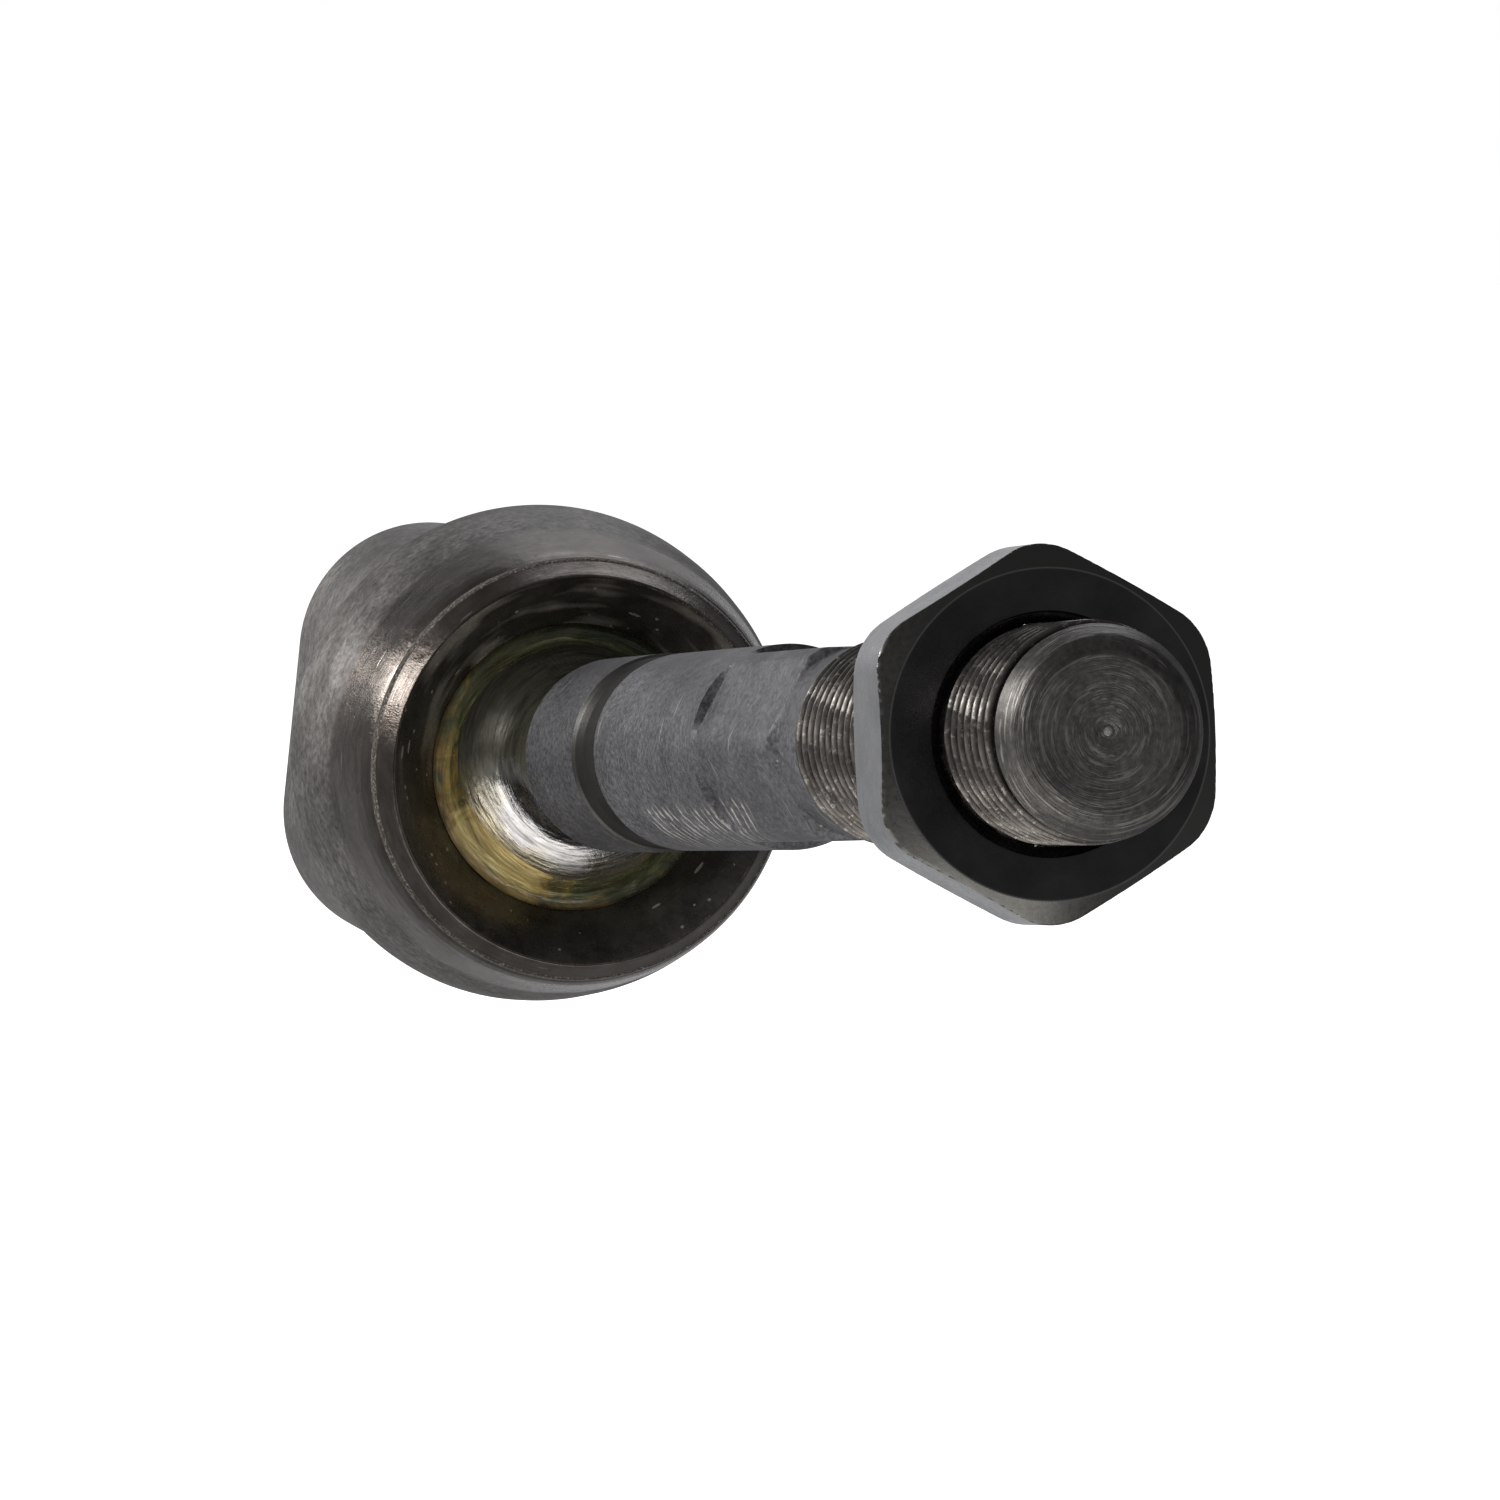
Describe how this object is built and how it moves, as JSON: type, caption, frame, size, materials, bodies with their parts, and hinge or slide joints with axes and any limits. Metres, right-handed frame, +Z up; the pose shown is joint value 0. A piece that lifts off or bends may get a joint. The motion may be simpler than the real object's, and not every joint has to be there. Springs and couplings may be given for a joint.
{
  "type": "axial ball joint",
  "caption": "Steering inner tie rod: a ball rod that swings and turns in a forged cup with a rack stud, with wrench flats, a threaded end and a thin jam nut.",
  "frame": {"origin": "centre of the housing's seating face, on the axis of the rack stud", "axes": "+X from the seating face along the housing's axis to the mouth and the rod, +Z up"},
  "size_m": [0.1884, 0.0388, 0.0425],
  "materials": {
    "forged_steel": "satin dark grey forged steel, turned at the mouth",
    "shell_plastic": "natural moulded plastic",
    "grease": "olive yellow grease, wet",
    "phosphated_steel": "matt grey phosphated shank, polished ball",
    "nut_steel": "dark grey plated nut"
  },
  "bodies": {
    "housing": {"housing": "forged_steel"},
    "shell": {"bearing_shell": "shell_plastic"},
    "grease": {"grease_film": "grease"},
    "rod": {"ball_rod": "phosphated_steel"},
    "nut": {"jam_nut": "nut_steel"}
  },
  "joints": [
    {"name": "swing_direction", "type": "hinge", "parent": "housing", "child": "shell", "pos_m": [0.024, 0, 0], "axis": [1, 0, 0], "continuous": true},
    {"name": "rod_swing", "type": "hinge", "parent": "shell", "child": "grease", "pos_m": [0.024, 0, 0], "axis": [0, -0.8878, 0.4602], "range_deg": [-27.3, 16.7]},
    {"name": "rod_spin", "type": "hinge", "parent": "grease", "child": "rod", "pos_m": [0.024, 0, 0], "axis": [0.9957, 0.0425, 0.082], "continuous": true},
    {"name": "nut_travel", "type": "slide", "parent": "rod", "child": "nut", "axis": [0.9957, 0.0425, 0.082], "range_m": [-0.03, 0.0102]}
  ]
}
